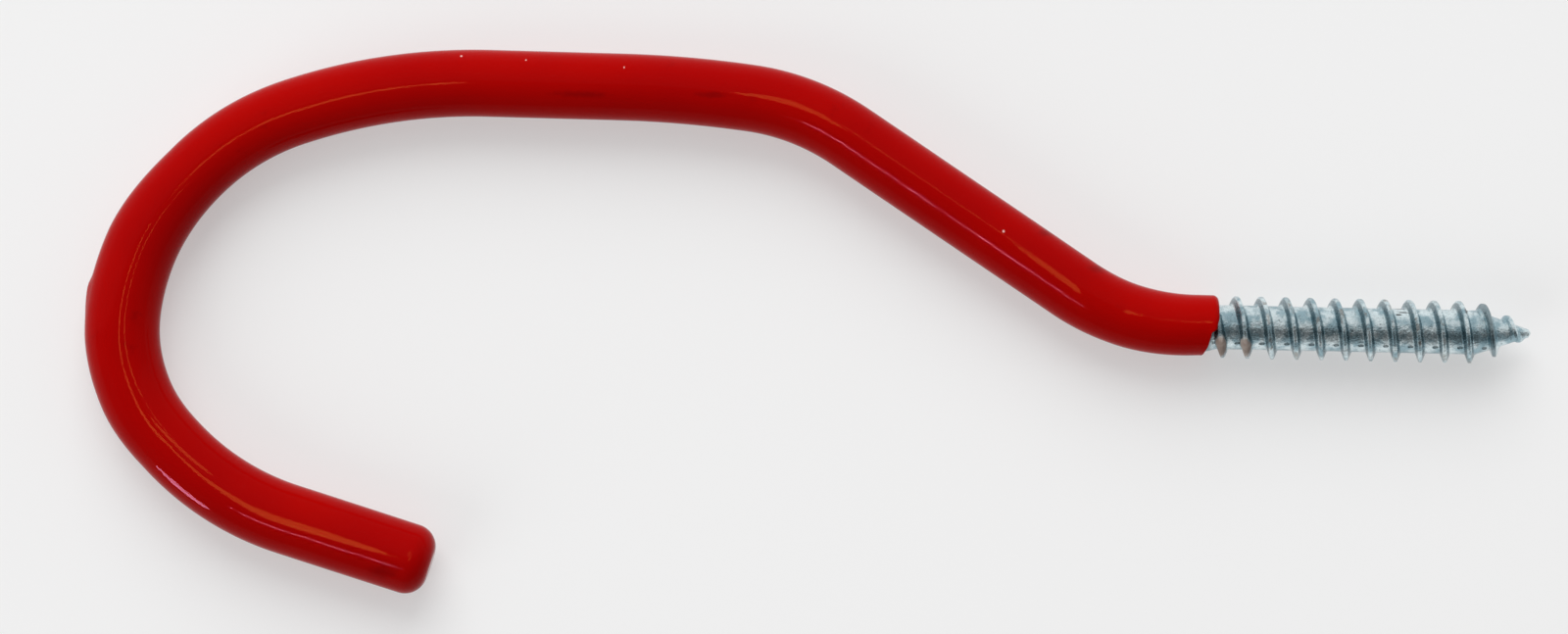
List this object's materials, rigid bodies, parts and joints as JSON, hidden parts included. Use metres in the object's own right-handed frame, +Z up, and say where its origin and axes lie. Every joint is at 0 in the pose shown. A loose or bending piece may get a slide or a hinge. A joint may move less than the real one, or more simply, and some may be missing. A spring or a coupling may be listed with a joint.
{
  "type": "bike hook",
  "caption": "Screw-in storage hook: a bent steel rod with a rolled wood-screw thread, dipped in soft red vinyl, that a bicycle wheel hangs from.",
  "frame": {"origin": "on the screw's axis, where the vinyl ends and the bare thread starts", "axes": "+X along the screw's axis towards its point, +Y towards the back of the hook, away from its mouth, +Z up out of the plane in which the hook lies"},
  "size_m": [0.1858, 0.0702, 0.0096],
  "materials": {
    "zinc_plated_steel": "bright zinc plating, mottled and slightly tarnished",
    "red_vinyl": "glossy dipped vinyl"
  },
  "bodies": {
    "root": {"steel_rod": "zinc_plated_steel", "vinyl_coating": "red_vinyl"}
  },
  "joints": []
}
